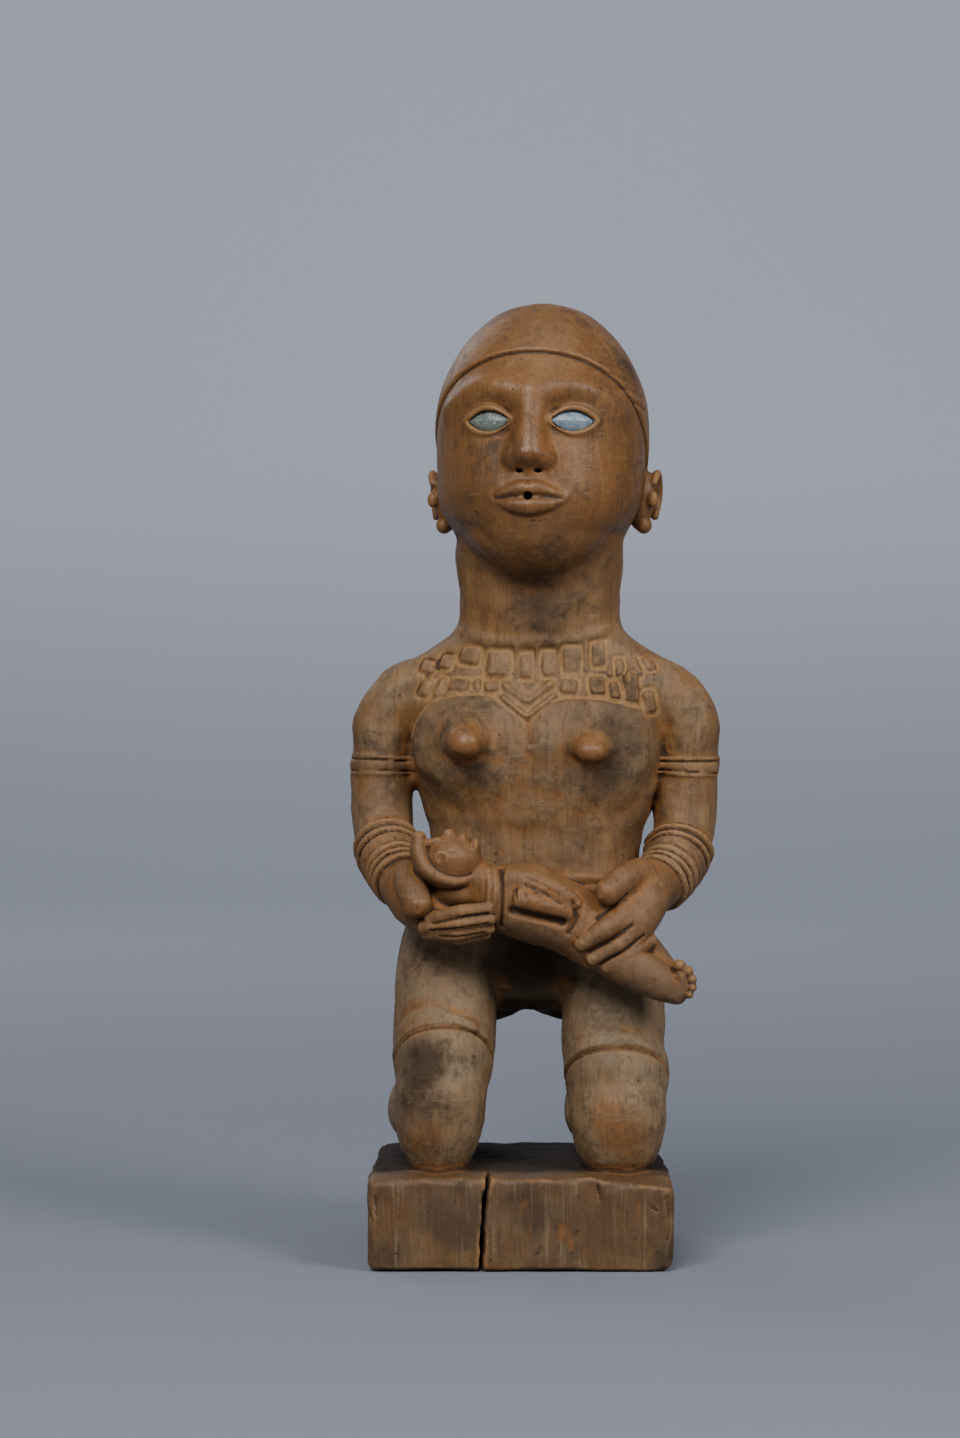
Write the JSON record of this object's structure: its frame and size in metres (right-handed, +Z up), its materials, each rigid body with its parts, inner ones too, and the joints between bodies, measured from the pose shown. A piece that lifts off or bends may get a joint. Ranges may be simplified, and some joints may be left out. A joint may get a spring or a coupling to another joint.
{
  "type": "maternity figure",
  "caption": "Carved wooden mother kneeling on a block plinth with a child lying across her lap, with inlaid glass eyes.",
  "frame": {"origin": "centre of the plinth's underside", "axes": "+Z up, the figure faces -Y, +X towards the figure's left hand"},
  "size_m": [0.1176, 0.0932, 0.3014],
  "materials": {
    "carved_wood": "worn brown patina, darker in the hollows, semi-gloss on the head",
    "right_eye_glass": "clouded grey-green glass over a dark backing",
    "left_eye_glass": "clouded pale grey-blue glass"
  },
  "bodies": {
    "root": {"carved_figure": "carved_wood", "right_eye_glass": "right_eye_glass", "left_eye_glass": "left_eye_glass"}
  },
  "joints": []
}
